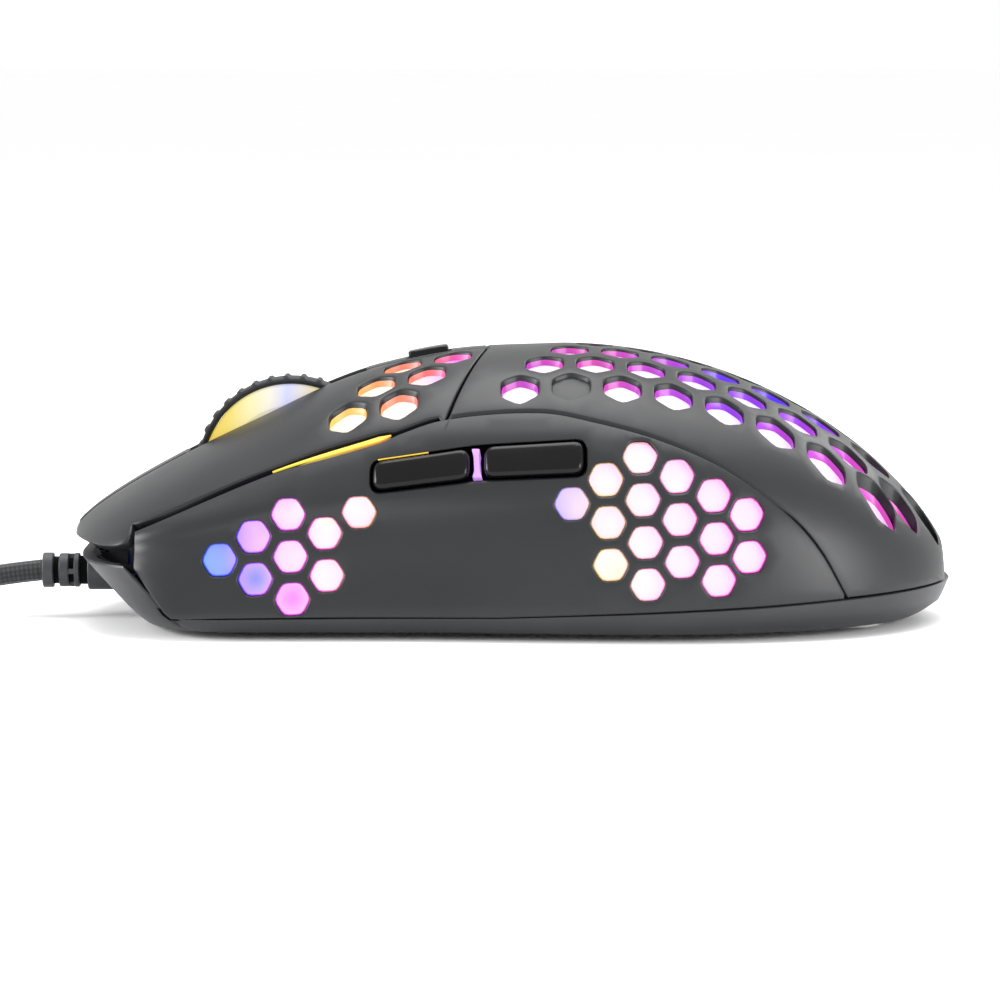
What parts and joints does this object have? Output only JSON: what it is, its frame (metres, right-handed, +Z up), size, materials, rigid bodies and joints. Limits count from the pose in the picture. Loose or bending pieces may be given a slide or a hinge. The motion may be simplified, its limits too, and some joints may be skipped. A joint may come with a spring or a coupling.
{
  "type": "computer mouse",
  "caption": "Wired low-weight optical mouse with a honeycomb shell over lit liners, two thumb buttons, a ribbed lit wheel and a thin braided cable ending in a USB plug.",
  "frame": {"origin": "on the ground under the middle of the body, cable left out", "axes": "+X from the nose (cable) to the tail, -Y the thumb side, +Z up"},
  "size_m": [0.219, 0.0657, 0.0383],
  "materials": {
    "shell_plastic": "fine matte texture",
    "gloss_black": "polished",
    "light_guide": "translucent, lit from behind in changing colours",
    "tyre_rubber": "matte ribbed",
    "steel": "satin",
    "black_plastic": "satin",
    "circuit_board": "solder mask",
    "white_plastic": "satin",
    "glide_foot": "smooth, waxy",
    "clear_lens": "clear",
    "cable_jacket": "fine braid"
  },
  "bodies": {
    "housing": {"back_thumb_switch": "black_plastic", "base_screw_1": "steel", "base_screw_2": "steel", "base_screw_3": "steel", "base_screw_4": "steel", "base_shell": "shell_plastic", "cable_coil": "cable_jacket", "cable_connector": "white_plastic", "cable_run": "cable_jacket", "cable_tail": "cable_jacket", "center_bridge": "shell_plastic", "controller_chip": "black_plastic", "dpi_circuit_board": "circuit_board", "dpi_switch": "black_plastic", "forward_thumb_switch": "black_plastic", "front_skate": "glide_foot", "left_click_switch": "black_plastic", "left_side_light_liner": "light_guide", "left_side_panel": "shell_plastic", "light_emitter_1": "white_plastic", "light_emitter_2": "white_plastic", "light_emitter_3": "white_plastic", "light_emitter_4": "white_plastic", "main_circuit_board": "circuit_board", "middle_click_switch": "black_plastic", "nose_bridge": "shell_plastic", "optical_sensor": "black_plastic", "palm_light_liner": "light_guide", "palm_shell": "shell_plastic", "rear_skate": "glide_foot", "right_click_switch": "black_plastic", "right_side_light_liner": "light_guide", "right_side_panel": "shell_plastic", "sensor_lens": "clear_lens", "strain_relief": "cable_jacket", "thumb_button_frame": "gloss_black", "thumb_circuit_board": "circuit_board", "thumb_light_separator": "light_guide", "usb_plug_body": "black_plastic", "usb_plug_shell": "steel", "usb_plug_tongue": "white_plastic", "wheel_encoder": "circuit_board"},
    "left_button": {"left_main_button": "shell_plastic", "left_button_light_liner": "light_guide"},
    "right_button": {"right_main_button": "shell_plastic", "right_button_light_liner": "light_guide"},
    "left_plunger": {"left_switch_plunger": "white_plastic"},
    "right_plunger": {"right_switch_plunger": "white_plastic"},
    "wheel_frame": {"wheel_carrier": "black_plastic"},
    "wheel": {"wheel_tyre": "tyre_rubber", "wheel_hub": "light_guide", "wheel_axle": "steel"},
    "middle_plunger": {"middle_switch_plunger": "white_plastic"},
    "dpi": {"dpi_button": "gloss_black"},
    "dpi_plunger": {"dpi_switch_plunger": "white_plastic"},
    "forward_thumb": {"forward_thumb_button": "gloss_black"},
    "forward_plunger": {"forward_thumb_plunger": "white_plastic"},
    "back_thumb": {"back_thumb_button": "gloss_black"},
    "back_plunger": {"back_thumb_plunger": "white_plastic"}
  },
  "joints": [
    {"name": "left_click", "type": "hinge", "parent": "housing", "child": "left_button", "pos_m": [-0.0034, 0, 0.0345], "axis": [0, -1, 0], "range_deg": [0, 0.6], "stiffness_Nm_per_rad": 0.6, "springref_deg": -1.15},
    {"name": "left_switch_travel", "type": "slide", "parent": "housing", "child": "left_plunger", "axis": [0, 0, -1], "range_m": [0, 0.0005]},
    {"name": "right_click", "type": "hinge", "parent": "housing", "child": "right_button", "pos_m": [-0.0034, 0, 0.0345], "axis": [0, -1, 0], "range_deg": [0, 0.6], "stiffness_Nm_per_rad": 0.6, "springref_deg": -1.15},
    {"name": "right_switch_travel", "type": "slide", "parent": "housing", "child": "right_plunger", "axis": [0, 0, -1], "range_m": [0, 0.0005]},
    {"name": "wheel_click", "type": "slide", "parent": "housing", "child": "wheel_frame", "axis": [0, 0, -1], "range_m": [0, 0.0004], "stiffness_N_per_m": 500, "springref_m": -0.001},
    {"name": "wheel_spin", "type": "hinge", "parent": "wheel_frame", "child": "wheel", "pos_m": [-0.0309, 0, 0.0204], "axis": [0, 1, 0], "continuous": true},
    {"name": "middle_switch_travel", "type": "slide", "parent": "housing", "child": "middle_plunger", "axis": [0, 0, -1], "range_m": [0, 0.0004]},
    {"name": "dpi_press", "type": "slide", "parent": "housing", "child": "dpi", "axis": [0, 0, -1], "range_m": [0, 0.0004], "stiffness_N_per_m": 400, "springref_m": -0.001},
    {"name": "dpi_switch_travel", "type": "slide", "parent": "housing", "child": "dpi_plunger", "axis": [0, 0, -1], "range_m": [0, 0.0004]},
    {"name": "forward_thumb_press", "type": "slide", "parent": "housing", "child": "forward_thumb", "axis": [0, 1, 0], "range_m": [0, 0.0006], "stiffness_N_per_m": 400, "springref_m": -0.001},
    {"name": "forward_switch_travel", "type": "slide", "parent": "housing", "child": "forward_plunger", "axis": [0, 1, 0], "range_m": [0, 0.0006]},
    {"name": "back_thumb_press", "type": "slide", "parent": "housing", "child": "back_thumb", "axis": [0, 1, 0], "range_m": [0, 0.0006], "stiffness_N_per_m": 400, "springref_m": -0.001},
    {"name": "back_switch_travel", "type": "slide", "parent": "housing", "child": "back_plunger", "axis": [0, 1, 0], "range_m": [0, 0.0006]}
  ],
  "couplings": [
    {"joint": "left_switch_travel", "follows": "left_click", "m_per_rad": 0.0376},
    {"joint": "right_switch_travel", "follows": "right_click", "m_per_rad": 0.0376},
    {"joint": "middle_switch_travel", "follows": "wheel_click", "ratio": 1},
    {"joint": "dpi_switch_travel", "follows": "dpi_press", "ratio": 1},
    {"joint": "forward_switch_travel", "follows": "forward_thumb_press", "ratio": 1},
    {"joint": "back_switch_travel", "follows": "back_thumb_press", "ratio": 1}
  ]
}
